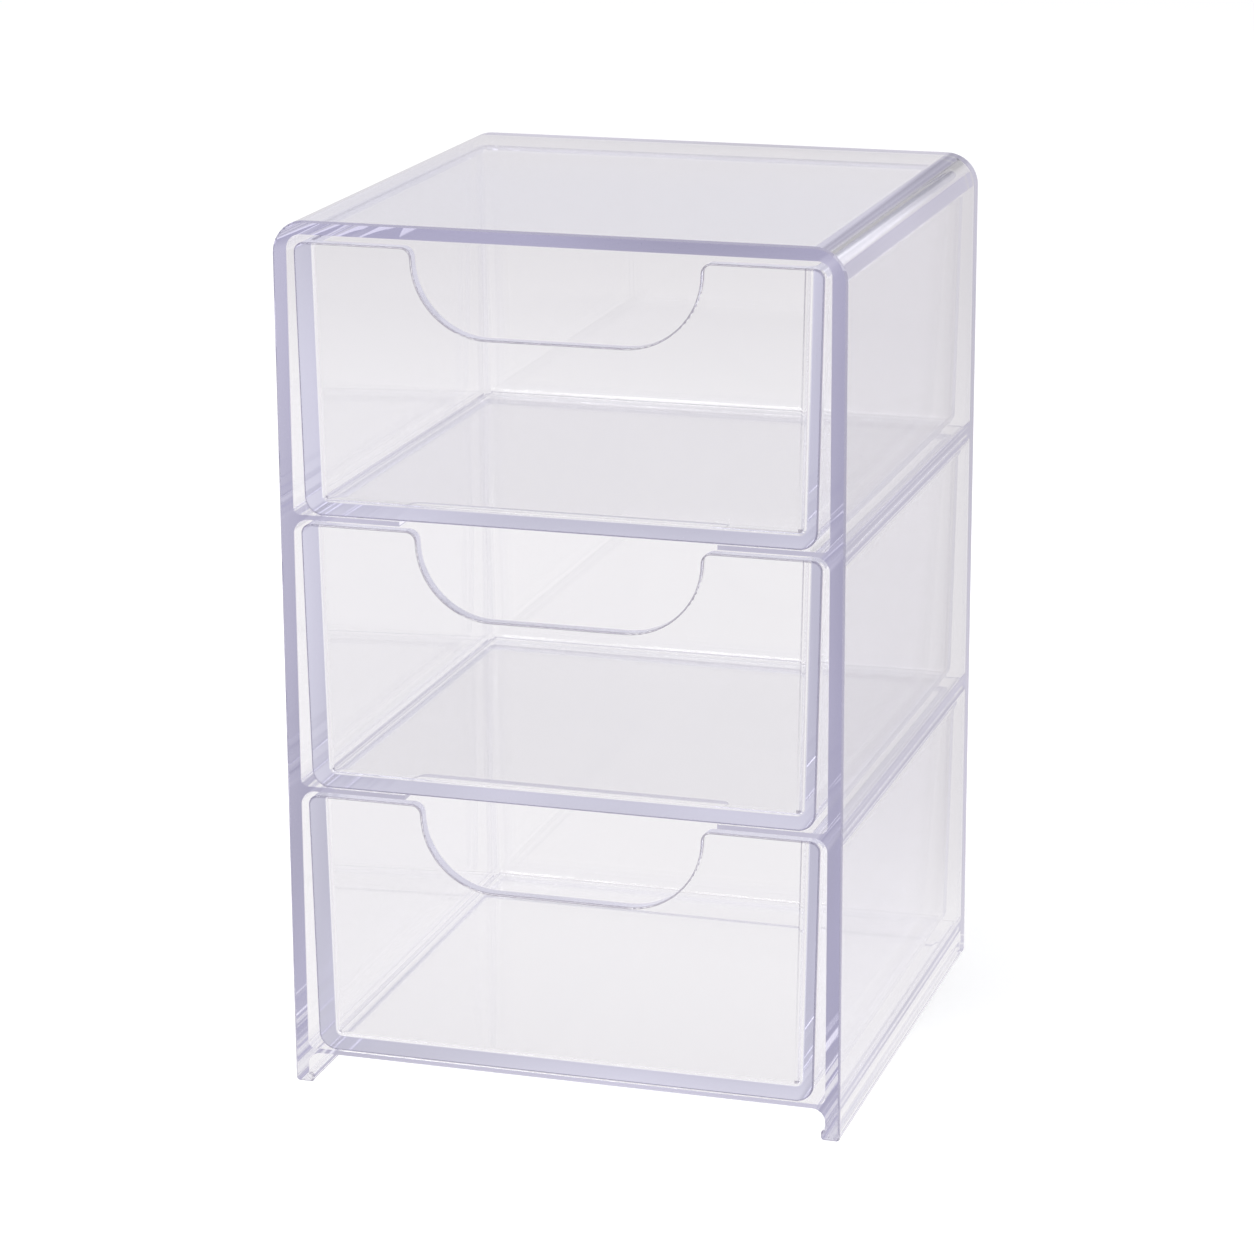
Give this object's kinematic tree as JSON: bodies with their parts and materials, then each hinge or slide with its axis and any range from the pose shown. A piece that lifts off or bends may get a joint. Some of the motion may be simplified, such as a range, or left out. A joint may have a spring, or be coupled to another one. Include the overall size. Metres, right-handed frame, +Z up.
{
  "type": "three-tier organizer box",
  "caption": "Clear moulded desk organizer with three open bays one above the other and a clear pull-out drawer in each, with a finger cut-out in every drawer front.",
  "frame": {"origin": "on the table, under the middle of the case", "axes": "Z up along the height; X across the front; the drawers pull out towards -Y"},
  "size_m": [0.0856, 0.0844, 0.133],
  "materials": {
    "case_plastic": "clear polystyrene, polished mould surface, faint violet tint where light runs along the wall",
    "drawer_plastic": "clear polystyrene, polished mould surface"
  },
  "bodies": {
    "case": {"case": "case_plastic"},
    "drawer_top": {"drawer_top": "drawer_plastic"},
    "drawer_middle": {"drawer_middle": "drawer_plastic"},
    "drawer_bottom": {"drawer_bottom": "drawer_plastic"}
  },
  "joints": [
    {"name": "slide_top", "type": "slide", "parent": "case", "child": "drawer_top", "axis": [0, -1, 0], "range_m": [0, 0.079]},
    {"name": "slide_middle", "type": "slide", "parent": "case", "child": "drawer_middle", "axis": [0, -1, 0], "range_m": [0, 0.079]},
    {"name": "slide_bottom", "type": "slide", "parent": "case", "child": "drawer_bottom", "axis": [0, -1, 0], "range_m": [0, 0.079]}
  ]
}
